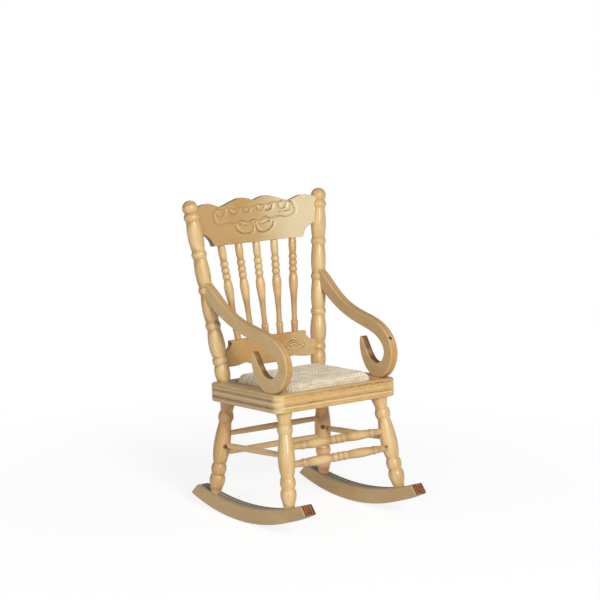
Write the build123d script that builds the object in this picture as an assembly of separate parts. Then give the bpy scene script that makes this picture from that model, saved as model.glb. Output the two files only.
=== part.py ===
"""Doll's-house rocking chair with a pressed-back crest rail, at one twelfth of full size.

Frame: origin on the floor in the middle of the chair's box, the sitter faces -Y, +Z up. Left and
right are as seen from the front, so right is +X. Millimetres.
"""
from build123d import *
from math import copysign, cos, radians, sin, sqrt, tan
import os

os.makedirs("parts", exist_ok=True)

# ----- Overall ------------------------------------------------------------------------------
# The chair is drawn with its seat level, then rocked back to where it balances.
overall_height = 95.0      # floor to the top of the ball finials
seat_height = 40.1         # floor to the top face of the seat
seat_centre_y = 0.5        # the seat sits this far behind the middle of the rockers
rocked_back = 3.5          # degrees, at rest

# ----- Seat, of ply ---------------------------------------------------------------------------
seat_width = 44.8
seat_depth = 35.4
seat_thickness = 5.4
seat_corner_radius = 3.0
seat_edge_rounding = 0.4   # all round, top and bottom

# ----- Woven pad, a board wound with string, let into a stepped window in the seat -----------
pad_width = 30.9
pad_depth = 27.9
pad_forward = 0.55         # pad centre in front of seat centre
pad_rise = 2.4             # top of the winding above the seat
pad_rounding = 2.0
winding_thickness = 0.9
winding_overhang = 0.4     # last turn of string beyond each end of the board
pad_clearance = 0.35       # round the pad, inside the window
window_ledge = 1.6         # width of the step that carries the pad
ledge_thickness = 1.8

# ----- Rockers, sawn from ply ----------------------------------------------------------------
rocker_length = 58.4
rocker_forward = 0.2       # middle of the rockers in front of the middle of the feet
rocker_thickness = 4.3
rocker_spacing = 41.2      # between the middles of the two rockers
rocker_depth = 4.8         # top to bottom at the lowest point
rocker_under_radius = 77.3
rocker_top_radius = 94.0
rocker_low_y = 2.1         # the lowest point of the curve while the seat is level
rocker_front_slant = 0.8     # how far in from square across the front end's upper corner is
rocker_rear_slant = 2.2
rocker_rounding = 0.35     # corners of the ends
rocker_easing = 0.25       # bevel along the long edges

# ----- Legs ----------------------------------------------------------------------------------
leg_side_inset = 4.7       # leg axis at the seat's underside, from the edges of the seat
front_leg_inset = 3.4
rear_leg_inset = 3.75
front_foot_y = -18.9       # leg axis at the rocker's top
rear_foot_y = 18.6
leg_foot_radius = 1.6
leg_bulb_radius = 2.36
leg_bead_radius = 2.34
leg_neck_radius = 1.88
leg_vase_radius = 2.55
leg_cup_radius = 2.4
leg_foot_tenon_radius = 0.8
leg_foot_tenon = 2.4
leg_bulb_height = 6.7
leg_low_bead_height = 3.45
leg_top_bead_height = 3.25
leg_cup_height = 4.6

# ----- Back posts ------------------------------------------------------------------------------
post_side_inset = 4.6      # post axis at the seat's top, from the edges of the seat
post_rear_inset = 2.1
post_splay = 6.83          # degrees, outwards
back_lean = 6.12           # degrees, backwards
post_foot_radius = 1.85
post_bulb_radius = 2.36
post_ring_radius = 2.36
post_neck_radius = 1.95
post_swell_radius = 2.3
post_lower_swell_radius = 2.52
post_ring_height = 2.3
post_top_vase_extra = 0.5  # the top vase is longer than the two below it
post_bulb_height = 5.3
collar_radius = 2.45       # the ring below the ball
collar_height = 2.5
collar_neck_radius = 1.85
ball_radius = 2.35

# ----- Mortise and tenon joints ---------------------------------------------------------------
seat_tenon_radius = 1.2    # legs and posts in the seat
seat_web = 1.0             # wood left in the seat between a leg's mortise and a post's
joint_clearance = 0.05     # all round each tenon
joint_end_gap = 0.15       # past the end of each tenon
tongue_thickness = 1.2     # tongues on the two back rails
tongue_length = 1.0
tongue_shoulder = 1.4      # from the tongue to the top and bottom of the rail's end

# ----- Stretchers ------------------------------------------------------------------------------
front_upper_height = 24.3  # axis above the floor, at the legs
front_lower_height = 19.2
rear_upper_height = 24.2
rear_lower_height = 18.3
side_front_height = 22.0
side_rear_height = 20.9
stretcher_stop = 0.9       # end of each stretcher, short of the leg's axis
front_end_radius = 0.95
front_ring_radius = 1.3
front_swell_radius = 1.42
front_bead_radius = 1.36
front_groove_radius = 1.14
front_bead_height = 1.9
front_ring_place = 4.7     # from the stretcher's end to its ring
front_ring_height = 1.2
stretcher_shank = 2.0      # straight part at each end, for the socket
plain_end_radius = 0.78
plain_swell_radius = 0.95

# ----- Back rails and spindles -----------------------------------------------------------------
rail_thickness = 2.2
rail_bend_radius = 165.0   # both rails are bent to this curve, hollow to the front
crest_set_back = 1.7       # middle of the rail behind the plane of the posts
lower_set_back = 1.1
crest_drop = 0.65          # tops of the humps below the tops of the posts, along the back
crest_height = 13.85       # bottom to the tops of the humps
crest_end_fall = 1.75      # below the humps: top corners, dips, middle cusp and end humps
crest_dip_fall = 2.05
crest_cusp_fall = 1.05
crest_end_hump_fall = 0.85
crest_bite = 4.8           # hollow cut from each lower corner
crest_bite_height = 4.0
lower_top = 12.0           # heights along the back, from the seat
lower_bottom = 3.5
lower_notch_rise = 1.2     # the points between the scallops, above the lowest one
lower_lobe_rise = 0.65     # the two outer scallops, above the middle one
lower_bite = 3.4           # hollow cut from each upper corner
lower_bite_height = 2.8
rail_let_in = 0.35         # rail ends scribed round the posts, past the posts' necks
spindle_top_pitch = 6.7
spindle_foot_pitch = 5.35
spindle_tenon_radius = 0.6
spindle_tenon = 1.4
spindle_foot_radius = 1.0
spindle_ring_radius = 1.17
spindle_thin_radius = 0.84
spindle_swell_radius = 1.4
spindle_bead_radius = 1.29
spindle_groove_radius = 0.97
spindle_top_radius = 1.22
spindle_foot_height = 3.05
spindle_ring_height = 0.9
spindle_bead_height = 1.9
spindle_top_height = 5.3

# ----- Arms, sawn from ply ---------------------------------------------------------------------
arm_thickness = 2.5
arm_height = 29.8          # top edge at the post, above the seat
arm_end_depth = 5.0        # depth of the arm where it meets the post
arm_spacing = 41.0         # between the middles of the arms, at the middle of the seat
arm_scroll = 20.0          # height over the seat where the scroll runs into the sweep
arm_toe_in = 2.86          # degrees
arm_easing = 0.25          # bevel along the edges

# ----- Worked out from the above ---------------------------------------------------------------
seat_underside = seat_height - seat_thickness
seat_front = seat_centre_y - seat_depth / 2
seat_rear = seat_centre_y + seat_depth / 2
seat_tenon = (seat_thickness - seat_web) / 2 - joint_end_gap
pad_centre_y = seat_centre_y - pad_forward
post_foot = Vector(seat_width / 2 - post_side_inset, seat_rear - post_rear_inset, seat_height)
post_run = Vector(tan(radians(post_splay)), tan(radians(back_lean)), 1)
post_tip = post_foot + post_run * (overall_height - seat_height)
over = 1.0                 # how far a cutter reaches past what it cuts

# The plane of the back: +X across, +Y up along the posts, +Z towards the sitter.
lean = radians(back_lean)
back = Plane(
    origin=(0, post_foot.Y, seat_height), x_dir=(1, 0, 0), z_dir=(0, -cos(lean), sin(lean))
)
crest_hump = (overall_height - seat_height) / cos(lean) - crest_drop
crest_bottom = crest_hump - crest_height
crest_end_top = crest_hump - crest_end_fall
crest_end_bottom = crest_bottom + crest_bite_height


# ----- Helpers ---------------------------------------------------------------------------------
def turned(start_radius, members, ball=False):
    """A turning on +Z from z = 0. A member is its length, the radius at its end and the points
    (share of the length, radius) that its curve passes through on the way."""
    radius, height = start_radius, 0.0
    outline = [Line((0, 0), (radius, 0))]
    for length, end_radius, *way in members:
        points = [(radius, height)]
        points += [(inside, height + share * length) for share, inside in way]
        radius, height = end_radius, height + length
        points.append((radius, height))
        outline.append(Spline(*points) if way else Line(*points))
    if ball:
        centre = height + sqrt(ball_radius**2 - radius**2)
        top = centre + ball_radius
        outline.append(ThreePointArc((radius, height), (ball_radius, centre), (0, top)))
        height = top
    else:
        outline.append(Line((radius, height), (0, height)))
    outline.append(Line((0, height), (0, 0)))
    return revolve(Plane.XZ * make_face(outline), Axis.Z)


def along(start, end):
    """A plane at start whose +Z runs towards end."""
    return Plane(origin=start, z_dir=end - start)


def rod(start, end, radius):
    """A plain cylinder from start to end."""
    align = (Align.CENTER, Align.CENTER, Align.MIN)
    return along(start, end) * Cylinder(radius, (end - start).length, align=align)


def on_line(start, end, height):
    """The point of the line from start to end that lies at this height."""
    return start + (end - start) * ((height - start.Z) / (end.Z - start.Z))


def flipped(point):
    return Vector(-point.X, point.Y, point.Z)


def mirrored(shape):
    """The same piece on the other side of the chair."""
    return mirror(shape, Plane.YZ)


def largest(shape):
    return shape.solids().sort_by(SortBy.VOLUME)[-1]


def eased(board, size):
    """A sawn board with a small bevel along the edges of its two faces."""
    faces = board.faces().sort_by(SortBy.AREA)[-2:]
    return chamfer([edge for face in faces for edge in face.edges()], size)


def save(shape, name):
    export_step(shape, f"parts/{name}.step")


# ----- Rockers -----------------------------------------------------------------------------------
def rocker_top(y):
    """Height of the rocker's top edge at y."""
    return rocker_depth + rocker_top_radius - sqrt(rocker_top_radius**2 - (y - rocker_low_y) ** 2)


def rocker_end(y, slant):
    """The lower corner of the rocker's end at y, and the upper corner, this much in from square."""
    rise = sqrt(rocker_under_radius**2 - (y - rocker_low_y) ** 2)
    low = Vector(y, rocker_under_radius - rise)
    across = Vector(rocker_low_y - y, rise).normalized()
    top_y = y + across.X * (rocker_top(y) - low.Y) + copysign(slant, across.X)
    return (low.X, low.Y), (top_y, rocker_top(top_y))


def rocker_board(thickness):
    """The outline between the rocker's two curves, this thick, on the right-hand side."""
    front_low, front_top = rocker_end(-rocker_length / 2 - rocker_forward, rocker_front_slant)
    rear_low, rear_top = rocker_end(rocker_length / 2 - rocker_forward, rocker_rear_slant)
    outline = [
        ThreePointArc(front_low, (rocker_low_y, 0), rear_low),
        Line(rear_low, rear_top),
        ThreePointArc(rear_top, (rocker_low_y, rocker_depth), front_top),
        Line(front_top, front_low),
    ]
    side = Plane(origin=(rocker_spacing / 2, 0, 0), x_dir=(0, 1, 0), z_dir=(1, 0, 0))
    return extrude(side * make_face(outline), thickness / 2, both=True)


def make_rocker(feet):
    """The right-hand rocker, its edges eased, bored for the feet of its two legs."""
    board = rocker_board(rocker_thickness)
    board = fillet(board.edges().filter_by(Axis.X), rocker_rounding)
    board = eased(board, rocker_easing)
    for top, foot in feet:
        down = (foot - top).normalized()
        end = foot + down * (leg_foot_tenon + joint_end_gap)
        board -= rod(foot - down * over, end, leg_foot_tenon_radius + joint_clearance)
    return largest(board)


# ----- Legs --------------------------------------------------------------------------------------
def leg_axis(top_y, foot_y):
    """The leg's top point in the seat's underside and its foot point in the rocker's top."""
    top = Vector(seat_width / 2 - leg_side_inset, top_y, seat_underside)
    foot = Vector(rocker_spacing / 2, foot_y, rocker_top(foot_y))
    return top, foot


def leg_turning(length):
    """Foot, bulb, bead, a vase that takes what is left of the length, bead and cup."""
    fixed = leg_bulb_height + leg_low_bead_height + leg_top_bead_height + leg_cup_height
    members = [
        (leg_bulb_height, leg_neck_radius, (0.45, leg_bulb_radius * 0.87), (0.82, leg_bulb_radius)),
        (leg_low_bead_height, leg_neck_radius, (0.5, leg_bead_radius)),
        (length - fixed, leg_neck_radius, (0.2, leg_vase_radius * 0.94), (0.48, leg_vase_radius)),
        (leg_top_bead_height, leg_neck_radius, (0.5, leg_bead_radius)),
        (leg_cup_height, leg_cup_radius, (0.25, leg_neck_radius * 1.07), (0.6, leg_cup_radius)),
    ]
    return turned(leg_foot_radius, members)


def make_leg(top, foot, sockets):
    """A leg coped to the seat and the rocker, with a tenon at each end, bored for stretchers."""
    down = (foot - top).normalized()
    low = foot + down * over
    high = top - down * over
    body = along(low, high) * leg_turning((high - low).length)
    body -= rocker_board(rocker_thickness * 2)
    body -= Pos(0, 0, seat_underside) * Box(
        seat_width * 2, seat_depth * 2, seat_thickness, align=(Align.CENTER, Align.CENTER, Align.MIN)
    )
    body = largest(body)
    body += rod(top + down * over, top - down * seat_tenon, seat_tenon_radius)
    body += rod(foot - down * over, foot + down * leg_foot_tenon, leg_foot_tenon_radius)
    for socket in sockets:
        body -= socket
    return largest(body)


# ----- Stretchers --------------------------------------------------------------------------------
def stretcher_ends(start, end):
    """Where a stretcher between two leg axes begins and ends, short of each axis."""
    way = (end - start).normalized() * stretcher_stop
    return start + way, end - way


def sockets(start, end, radius):
    """What is bored out of the two legs for one stretcher."""
    first, last = stretcher_ends(start, end)
    back_off = (end - start).normalized() * joint_end_gap
    middle = (start + end) / 2
    bore = radius + joint_clearance
    return rod(middle, first - back_off, bore), rod(middle, last + back_off, bore)


def front_stretcher(start, end):
    """A turned stretcher: a ring near each end, a swelling, and three beads in the middle."""
    first, last = stretcher_ends(start, end)
    length = (last - first).length
    taper = front_ring_place - stretcher_shank
    swell = length / 2 - front_ring_place - front_ring_height - 1.5 * front_bead_height
    groove, ring = front_groove_radius, front_ring_radius
    bead = (front_bead_height, groove, (0.5, front_bead_radius))
    members = [
        (stretcher_shank, front_end_radius),
        (taper, groove, (0.5, (front_end_radius + groove) / 2)),
        (front_ring_height, groove, (0.5, ring)),
        (swell, groove, (0.6, front_swell_radius)),
        bead,
        bead,
        bead,
        (swell, groove, (0.4, front_swell_radius)),
        (front_ring_height, groove, (0.5, ring)),
        (taper, front_end_radius, (0.5, (front_end_radius + groove) / 2)),
        (stretcher_shank, front_end_radius),
    ]
    return along(first, last) * turned(front_end_radius, members)


def plain_stretcher(start, end):
    """A thin dowel, a little thicker in the middle."""
    first, last = stretcher_ends(start, end)
    middle = (last - first).length - 2 * stretcher_shank
    members = [
        (stretcher_shank, plain_end_radius),
        (middle, plain_end_radius, (0.5, plain_swell_radius)),
        (stretcher_shank, plain_end_radius),
    ]
    return along(first, last) * turned(plain_end_radius, members)


# ----- Seat --------------------------------------------------------------------------------------
def pad_hole(grow, bottom, height):
    """A rectangular hole round the pad, larger than it by grow on each side."""
    size = (pad_width + 2 * grow, pad_depth + 2 * grow, height)
    return Pos(0, pad_centre_y, bottom) * Box(*size, align=(Align.CENTER, Align.CENTER, Align.MIN))


def make_seat(legs):
    """The seat frame: a stepped window for the pad, and mortises for legs and posts."""
    outline = RectangleRounded(seat_width, seat_depth, seat_corner_radius)
    seat = Pos(0, seat_centre_y, seat_underside) * extrude(outline, seat_thickness)
    seat = fillet(seat.edges().filter_by(Axis.Z, reverse=True), seat_edge_rounding)
    seat -= pad_hole(pad_clearance, seat_underside + ledge_thickness, seat_thickness)
    seat -= pad_hole(-window_ledge, seat_underside - over, seat_thickness)
    bore = seat_tenon_radius + joint_clearance
    for top, foot in legs:
        up = (top - foot).normalized()
        mortise = rod(top - up * over, top + up * (seat_tenon + joint_end_gap), bore)
        seat -= mortise
        seat -= mirrored(mortise)
    down = post_run.normalized() * -1
    mortise = rod(post_foot - down * over, post_foot + down * (seat_tenon + joint_end_gap), bore)
    seat -= mortise
    seat -= mirrored(mortise)
    return largest(seat)


# ----- Pad ---------------------------------------------------------------------------------------
def pad_block(inset, length):
    """The pad's rounded section, set in by inset, this long from front to back."""
    bottom = seat_underside + ledge_thickness + inset
    height = seat_height + pad_rise - inset - bottom
    width = pad_width - 2 * inset
    section = Plane.XZ * Pos(0, bottom + height / 2) * RectangleRounded(
        width, height, pad_rounding - inset
    )
    return Pos(0, pad_centre_y, 0) * extrude(section, length / 2, both=True)


def make_pad():
    """The board, and the string wound round it from side to side as one sleeve."""
    board = pad_block(winding_thickness, pad_depth - 2 * winding_overhang)
    winding = pad_block(0, pad_depth) - pad_block(winding_thickness, pad_depth + over)
    return largest(board), largest(winding)


# ----- Back posts --------------------------------------------------------------------------------
def post_blank():
    """The right-hand post above the seat: bulb, four rings with vases between, collar and ball."""
    length = (post_tip - post_foot).length + over
    neck = post_neck_radius
    finial = ball_radius + sqrt(ball_radius**2 - collar_neck_radius**2)
    fixed = over + post_bulb_height + 4 * post_ring_height + collar_height + finial
    vase = (length - fixed - post_top_vase_extra) / 4
    ring = (post_ring_height, neck, (0.5, post_ring_radius))
    upper = (vase, neck, (0.3, post_swell_radius * 0.985), (0.5, post_swell_radius))
    members = [
        (over, post_foot_radius),
        (post_bulb_height, neck, (0.62, post_bulb_radius)),
        ring,
        (vase, neck, (0.25, post_lower_swell_radius * 0.96), (0.45, post_lower_swell_radius)),
        ring,
        upper,
        ring,
        upper,
        ring,
        (vase + post_top_vase_extra, neck, (0.3, post_swell_radius)),
        (collar_height, collar_neck_radius, (0.5, collar_radius)),
    ]
    start = post_foot - post_run.normalized() * over
    blank = along(start, post_tip) * turned(post_foot_radius, members, ball=True)
    below_seat = Pos(0, 0, seat_height) * Box(
        seat_width * 2, seat_depth * 2, seat_thickness, align=(Align.CENTER, Align.CENTER, Align.MAX)
    )
    return largest(blank - below_seat)


def make_post(blank, tongues):
    """The post with its tenon for the seat, mortised for the tongues of the two rails."""
    down = post_run.normalized() * -1
    post = blank + rod(post_foot - down * over, post_foot + down * seat_tenon, seat_tenon_radius)
    for tongue in tongues:
        post -= tongue
    return largest(post)


# ----- Back rails --------------------------------------------------------------------------------
def post_x(up):
    """Where the axis of the right-hand post lies, this far up the back."""
    return post_foot.X + post_run.X * up * cos(lean)


def rail_depth(x, set_back):
    """How far the middle of a rail lies in front of the plane of the posts, at x."""
    return -set_back + rail_bend_radius - sqrt(rail_bend_radius**2 - x**2)


def bent(outline, set_back, thickness):
    """A board of this outline, drawn across and up the back, bent hollow to the front."""
    tall = crest_hump * 2
    block = extrude(back * outline, seat_depth, both=True)
    outer = Cylinder(rail_bend_radius + thickness / 2, tall)
    inner = Cylinder(rail_bend_radius - thickness / 2, tall + over)
    shell = back * Pos(0, crest_hump / 2, rail_bend_radius - set_back) * Rot(90, 0, 0) * (outer - inner)
    front_half = back * Pos(0, 0, rail_bend_radius) * Box(
        4 * rail_bend_radius, 4 * tall, 2 * (rail_bend_radius - seat_depth)
    )
    return largest((block & shell) - front_half)


def both_sides(half):
    """A closed outline from the edges of its right-hand half, which starts and ends on x = 0."""
    edges = Curve() + half
    return make_face(edges + mirror(edges, Plane.YZ))


def crest_outline():
    """Two humps each side of a cusp, and a quarter-round bite out of each lower corner."""
    reach = post_neck_radius - rail_let_in
    end_low = (post_x(crest_end_bottom) - reach, crest_end_bottom)
    end_high = (post_x(crest_end_top) - reach, crest_end_top)
    corner = (end_low[0] - crest_bite, crest_bottom)
    hollow = (end_low[0] - crest_bite * 0.68, crest_bottom + crest_bite_height * 0.66)
    dip_x = end_high[0] * 0.56
    top = Spline(
        (0, crest_hump - crest_cusp_fall),
        (dip_x * 0.18, crest_hump - crest_cusp_fall * 0.38),
        (dip_x * 0.38, crest_hump),
        (dip_x * 0.62, crest_hump - crest_dip_fall * 0.35),
        (dip_x, crest_hump - crest_dip_fall),
        (end_high[0] * 0.8, crest_hump - crest_end_hump_fall),
        end_high,
    )
    return both_sides([
        top,
        Line(end_high, end_low),
        ThreePointArc(end_low, hollow, corner),
        Line(corner, (0, crest_bottom)),
    ])


def lower_outline():
    """A bite out of each top corner, and a shallow scalloped lower edge."""
    reach = post_neck_radius - rail_let_in
    shoulder = lower_top - lower_bite_height
    end_high = (post_x(shoulder) - reach, shoulder)
    end_low = (post_x(lower_bottom) - reach, lower_bottom + lower_lobe_rise)
    corner = (end_high[0] - lower_bite, lower_top)
    hollow = (end_high[0] - lower_bite * 0.82, lower_top - lower_bite_height * 0.72)
    notch = (end_low[0] * 0.53, lower_bottom + lower_notch_rise)
    lobe = ((end_low[0] + notch[0]) / 2, lower_bottom + lower_lobe_rise)
    return both_sides([
        Line((0, lower_top), corner),
        ThreePointArc(corner, hollow, end_high),
        Line(end_high, end_low),
        Spline(end_low, lobe, notch),
        Spline(notch, (notch[0] / 2, lower_bottom + lower_notch_rise / 8), (0, lower_bottom)),
    ])


def tongue(low, high, set_back, grow):
    """The right-hand tongue of a rail between two heights, or its mortise, larger by grow."""
    middle = (low + high) / 2
    axis_x = post_x(middle)
    depth = rail_depth(axis_x - post_neck_radius, set_back)
    end_gap = joint_end_gap if grow else 0
    length = post_neck_radius + tongue_length + end_gap
    block = Box(length, high - low - 2 * tongue_shoulder + 2 * grow, tongue_thickness + 2 * grow)
    centre_x = axis_x - post_neck_radius + tongue_length + end_gap - length / 2
    return back * Pos(centre_x, middle, depth) * Rot(0, 0, -post_splay) * block


def make_rail(outline, low, high, set_back, blanks, spindles):
    """A bent rail scribed round the posts, with a tongue each end, bored for the spindles."""
    rail = bent(outline, set_back, rail_thickness)
    for blank in blanks:
        rail = largest(rail - blank)
    end = tongue(low, high, set_back, 0)
    rail = rail + end + mirrored(end)
    for foot, top in spindles:
        up = (top - foot).normalized()
        reach = up * (spindle_tenon + joint_end_gap)
        bore = spindle_tenon_radius + joint_clearance
        rail -= rod(foot - reach, top + reach, bore)
    return largest(rail)


# ----- Spindles ----------------------------------------------------------------------------------
def spindle_ends(place):
    """The foot and the top of a spindle's axis, at the edges of the two rails. Place counts
    from the middle spindle."""
    foot_x, top_x = place * spindle_foot_pitch, place * spindle_top_pitch
    foot = Vector(foot_x, lower_top, rail_depth(foot_x, lower_set_back))
    top = Vector(top_x, crest_bottom, rail_depth(top_x, crest_set_back))
    return back.from_local_coords(foot), back.from_local_coords(top)


def spindle_turning(length):
    """Foot, ring, a vase that takes what is left of the length, three beads and a top."""
    groove, foot, thin = spindle_groove_radius, spindle_foot_radius, spindle_thin_radius
    beads = 3 * spindle_bead_height
    fixed = spindle_foot_height + spindle_ring_height + beads + spindle_top_height
    bead = (spindle_bead_height, groove, (0.5, spindle_bead_radius))
    middle = (spindle_swell_radius + thin) / 2
    members = [
        (spindle_foot_height, foot * 1.06, (0.5, foot)),
        (spindle_ring_height, thin * 1.03, (0.5, spindle_ring_radius)),
        (length - fixed, groove, (0.25, thin), (0.58, middle), (0.86, spindle_swell_radius)),
        bead,
        bead,
        bead,
        (spindle_top_height, foot, (0.5, spindle_top_radius)),
    ]
    return turned(foot, members)


def make_spindle(foot, top, rails):
    """A spindle scribed to the edges of the two rails, with a tenon in each."""
    up = (top - foot).normalized()
    low = foot - up * over / 2
    high = top + up * over / 2
    body = along(low, high) * spindle_turning((high - low).length)
    for rail in rails:
        body = largest(body - rail)
    body += rod(foot - up * spindle_tenon, foot + up * over, spindle_tenon_radius)
    body += rod(top - up * over, top + up * spindle_tenon, spindle_tenon_radius)
    return largest(body)


# ----- Arms --------------------------------------------------------------------------------------
def make_arm(post):
    """The right-hand arm: one sweep from the post over the nose and under to the seat, ending in
    a hook. Its outline hangs on two places, the post's face and the seat's front edge, and its
    points are shares of the depth of its end and of the height of its scroll."""
    turn = radians(arm_toe_in)
    plane = Plane(
        origin=(arm_spacing / 2, seat_centre_y, 0),
        x_dir=(sin(turn), cos(turn), 0),
        z_dir=(cos(turn), -sin(turn), 0),
    )
    joint_z = seat_height + arm_height
    joint_y = post_foot.Y + post_run.Y * arm_height - post_swell_radius - seat_centre_y

    def by_post(back_by, up_by):
        return joint_y + back_by * arm_end_depth, joint_z + up_by * arm_end_depth

    def by_seat(back_by, up_by):
        return back_by * arm_scroll - seat_depth / 2, seat_height + up_by * arm_scroll

    end_low = by_post(0.18, -0.76)
    nose_over = [
        by_post(0.18, 0.14),
        by_post(-0.64, -0.42),
        by_post(-1.6, -1.16),
        by_seat(0.85, 0.99),
        by_seat(0.44, 0.8975),
        by_seat(0.16, 0.8),
        by_seat(-0.045, 0.635),
        by_seat(-0.13, 0.425),
        by_seat(-0.075, 0.21),
        by_seat(0.045, 0.07),
        by_seat(0.2, 0),
    ]
    under_hollow = [
        end_low,
        by_post(-0.56, -1.44),
        by_post(-1.24, -1.87),
        by_seat(1.15, 0.9),
        by_seat(0.76, 0.775),
        by_seat(0.42, 0.69),
        by_seat(0.18, 0.575),
        by_seat(0.075, 0.415),
        by_seat(0.125, 0.29),
        by_seat(0.26, 0.22),
        by_seat(0.41, 0.26),
        by_seat(0.55, 0.425),
        by_seat(0.655, 0.58),
    ]
    hook_back = [
        by_seat(0.675, 0.58),
        by_seat(0.6925, 0.44),
        by_seat(0.645, 0.265),
        by_seat(0.54, 0.11),
        by_seat(0.38, 0),
    ]
    outline = [
        Spline(*nose_over),
        Line(nose_over[-1], hook_back[-1]),
        Spline(*hook_back),
        Line(hook_back[0], under_hollow[-1]),
        Spline(*under_hollow),
        Line(end_low, nose_over[0]),
    ]
    board = extrude(plane * make_face(outline), arm_thickness / 2, both=True)
    return largest(eased(board, arm_easing) - post)


# ----- The chair ---------------------------------------------------------------------------------
front_leg = leg_axis(seat_front + front_leg_inset, front_foot_y)
rear_leg = leg_axis(seat_rear - rear_leg_inset, rear_foot_y)


def across(leg, height):
    """The two ends of a stretcher across the chair: the left and the right leg at this height."""
    top, foot = leg
    point = on_line(foot, top, height)
    return flipped(point), point


front_upper = across(front_leg, front_upper_height)
front_lower = across(front_leg, front_lower_height)
rear_upper = across(rear_leg, rear_upper_height)
rear_lower = across(rear_leg, rear_lower_height)
side_front = on_line(front_leg[1], front_leg[0], side_front_height)
side_rear = on_line(rear_leg[1], rear_leg[0], side_rear_height)

front_bores = [sockets(*ends, front_end_radius)[1] for ends in (front_upper, front_lower)]
rear_bores = [sockets(*ends, plain_end_radius)[1] for ends in (rear_upper, rear_lower)]
side_bores = sockets(side_front, side_rear, plain_end_radius)

pieces = {}
pieces["right_rocker"] = make_rocker([front_leg, rear_leg])
pieces["front_right_leg"] = make_leg(*front_leg, front_bores + [side_bores[0]])
pieces["rear_right_leg"] = make_leg(*rear_leg, rear_bores + [side_bores[1]])
pieces["right_side_stretcher"] = plain_stretcher(side_front, side_rear)
pieces["front_upper_stretcher"] = front_stretcher(*front_upper)
pieces["front_lower_stretcher"] = front_stretcher(*front_lower)
pieces["rear_upper_stretcher"] = plain_stretcher(*rear_upper)
pieces["rear_lower_stretcher"] = plain_stretcher(*rear_lower)
pieces["seat_frame"] = make_seat([front_leg, rear_leg])
pieces["pad_board"], pieces["pad_winding"] = make_pad()

blank = post_blank()
both_blanks = (blank, mirrored(blank))
crest_span = (crest_end_bottom, crest_end_top)
lower_span = (lower_bottom, lower_top - lower_bite_height)
crest_mortise = tongue(*crest_span, crest_set_back, joint_clearance)
lower_mortise = tongue(*lower_span, lower_set_back, joint_clearance)
pieces["right_back_post"] = make_post(blank, (crest_mortise, lower_mortise))
pieces["right_arm"] = make_arm(blank)

spindles = [spindle_ends(place) for place in (-2, -1, 0, 1, 2)]
crest, lower = crest_outline(), lower_outline()
pieces["crest_rail"] = make_rail(crest, *crest_span, crest_set_back, both_blanks, spindles)
pieces["lower_back_rail"] = make_rail(lower, *lower_span, lower_set_back, both_blanks, spindles)
edges = (
    bent(crest, crest_set_back, rail_thickness * 1.5),
    bent(lower, lower_set_back, rail_thickness * 1.5),
)
for number, ends in enumerate(spindles, 1):
    pieces[f"spindle_{number}"] = make_spindle(*ends, edges)

for name in list(pieces):
    if "right" in name:
        pieces[name.replace("right", "left")] = mirrored(pieces[name])

rocked = {name: Rot(-rocked_back, 0, 0) * piece for name, piece in pieces.items()}
box = Compound(list(rocked.values())).bounding_box()
stand = Pos(0, -box.center().Y, -box.min.Z)
for name, piece in rocked.items():
    save(stand * piece, name)
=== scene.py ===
"""A doll's-house rocking chair of pale varnished wood with a string-wound seat.

Metres, +Z up, and the sitter faces -Y. Left and right are as seen from the front.
"""
from math import cos, pi, radians, sin, tau

import bmesh
import bpy
import numpy as np
from mathutils import Matrix, Vector


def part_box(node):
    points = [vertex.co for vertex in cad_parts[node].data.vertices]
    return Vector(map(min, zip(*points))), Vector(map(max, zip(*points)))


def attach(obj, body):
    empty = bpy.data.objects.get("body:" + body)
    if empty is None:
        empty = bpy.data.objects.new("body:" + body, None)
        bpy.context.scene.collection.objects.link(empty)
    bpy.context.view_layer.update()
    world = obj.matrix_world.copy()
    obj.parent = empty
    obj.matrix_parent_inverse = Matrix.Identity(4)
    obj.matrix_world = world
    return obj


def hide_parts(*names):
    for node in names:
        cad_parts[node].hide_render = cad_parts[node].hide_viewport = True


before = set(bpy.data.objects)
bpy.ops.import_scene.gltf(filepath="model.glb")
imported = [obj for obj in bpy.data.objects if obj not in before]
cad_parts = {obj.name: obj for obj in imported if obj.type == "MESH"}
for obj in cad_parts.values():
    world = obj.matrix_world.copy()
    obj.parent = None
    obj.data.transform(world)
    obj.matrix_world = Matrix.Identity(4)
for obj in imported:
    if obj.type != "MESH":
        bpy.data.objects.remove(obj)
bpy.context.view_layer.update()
mm = 0.001

# ----- How the chair stands ---------------------------------------------------------------------
# The chair is drawn with its seat level and rests rocked back a little, so each shape below is
# worked out for the level chair, in millimetres, and then set on the floor as the chair stands.
rocked_back = radians(3.5)
level_seat_middle = Vector((0, 0.5, 37.4))
tilt = Matrix.Rotation(-rocked_back, 4, "X") @ Matrix.Scale(mm, 4)
low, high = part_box("seat_frame")
stand = Matrix.Translation((low + high) / 2 - tilt @ level_seat_middle) @ tilt


def stood(points):
    """Level-chair points in millimetres, any number of rows of three, as they stand, in metres."""
    turn = np.array(stand.to_3x3())
    return np.asarray(points, float).reshape(-1, 3) @ turn.T + np.array(stand.translation)


def lie(node):
    """How a piece lies: a frame at its middle, with X along its thinnest direction and Z along
    its longest, found from the spread of its points. Millimetres in it, metres outside."""
    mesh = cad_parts[node].data
    points = np.empty(len(mesh.vertices) * 3, np.float32)
    mesh.vertices.foreach_get("co", points)
    points = points.reshape(-1, 3).astype(float)
    middle = (points.min(0) + points.max(0)) / 2
    spread = np.linalg.svd(points - points.mean(0), full_matrices=False)[2]
    long, thin = Vector(spread[0]), Vector(spread[2])
    long *= -1 if long[max(range(3), key=lambda n: abs(long[n]))] < 0 else 1
    thin *= -1 if thin[max(range(3), key=lambda n: abs(thin[n]))] < 0 else 1
    turn = Matrix((thin, long.cross(thin), long)).transposed().to_4x4()
    return Matrix.Translation(middle) @ turn @ Matrix.Scale(mm, 4)


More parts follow.
